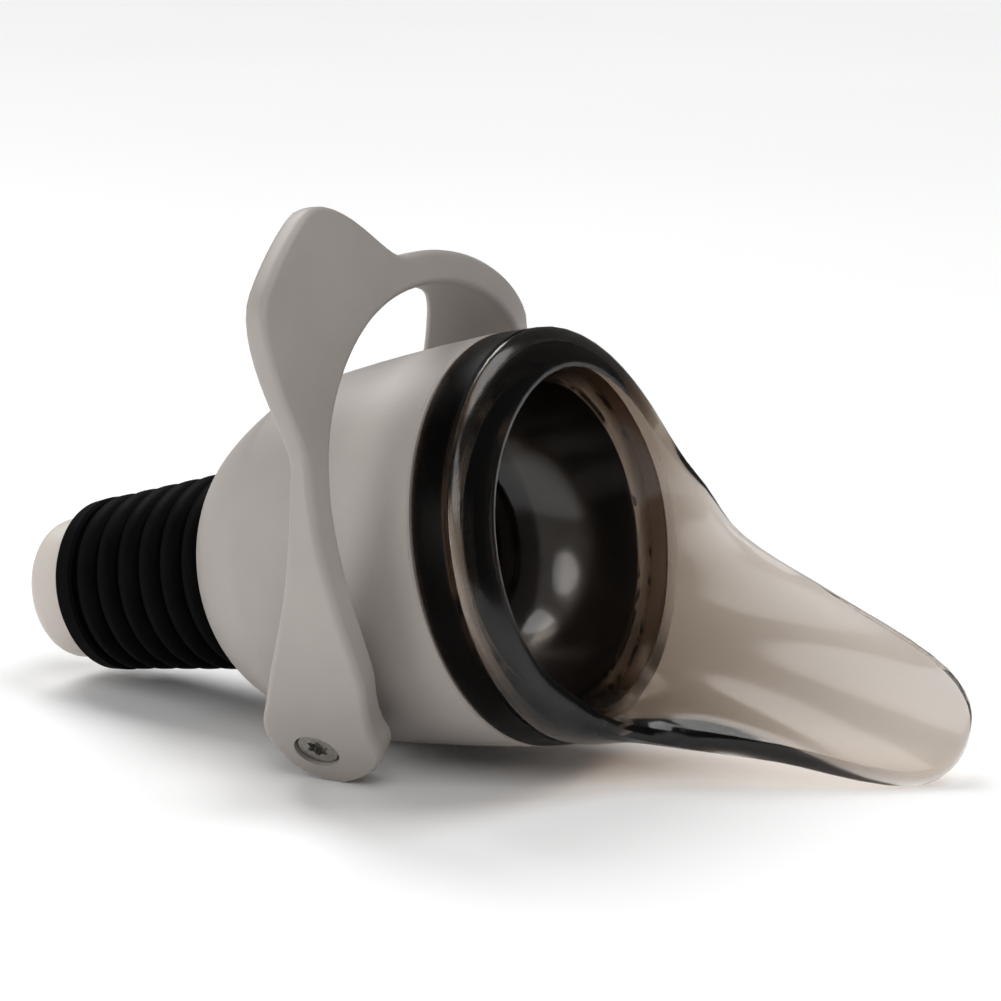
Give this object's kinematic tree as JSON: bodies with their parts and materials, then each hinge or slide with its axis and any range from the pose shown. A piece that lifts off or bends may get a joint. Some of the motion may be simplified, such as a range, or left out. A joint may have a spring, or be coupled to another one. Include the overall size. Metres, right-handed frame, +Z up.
{
  "type": "bottle stopper pourer",
  "caption": "Bottle stopper and pourer: ribbed rubber neck plug, rounded bell, smoked spout with a long pouring tongue, and a bail lever that turns a ball valve.",
  "frame": {"origin": "on the surface the object lies on, below the middle of its box", "axes": "+X towards the pouring tongue, as the object lies on the tip of its tongue, the end of one lever arm and the dome of its bell; +Z up"},
  "size_m": [0.1054, 0.062, 0.0607],
  "materials": {
    "taupe_shell": "satin soft-touch",
    "taupe_lever": "satin soft-touch",
    "black_body": "fine satin",
    "smoked_collar": "satin smoked",
    "smoked_spout": "glossy smoked transparent",
    "white_seat": "satin",
    "stem_white": "satin off-white",
    "dark_ball": "polished",
    "steel": "turned",
    "sleeve_rubber": "satin black",
    "seal_rubber": "plain black"
  },
  "bodies": {
    "body": {"housing": "taupe_shell", "valve_body": "black_body", "collar_ring": "smoked_collar", "spout": "smoked_spout", "spout_gasket": "seal_rubber", "seat_retainer": "black_body", "front_seat": "white_seat", "rear_seat": "white_seat", "stem_tube": "stem_white", "stem_seal": "seal_rubber", "stopper_sleeve": "sleeve_rubber", "chamber_seals": "seal_rubber", "rear_gasket": "seal_rubber"},
    "bail": {"lever": "taupe_lever", "pivot_screws": "steel", "pivot_washers": "white_seat", "near_shaft": "steel", "far_shaft": "steel", "shaft_seals": "seal_rubber", "valve_ball": "dark_ball"}
  },
  "joints": [
    {"name": "lever_swing", "type": "hinge", "parent": "body", "child": "bail", "pos_m": [-0.00486, 0.00239, 0.0207], "axis": [-0.1469, 0.7759, 0.6135], "range_deg": [-84, 0]}
  ]
}
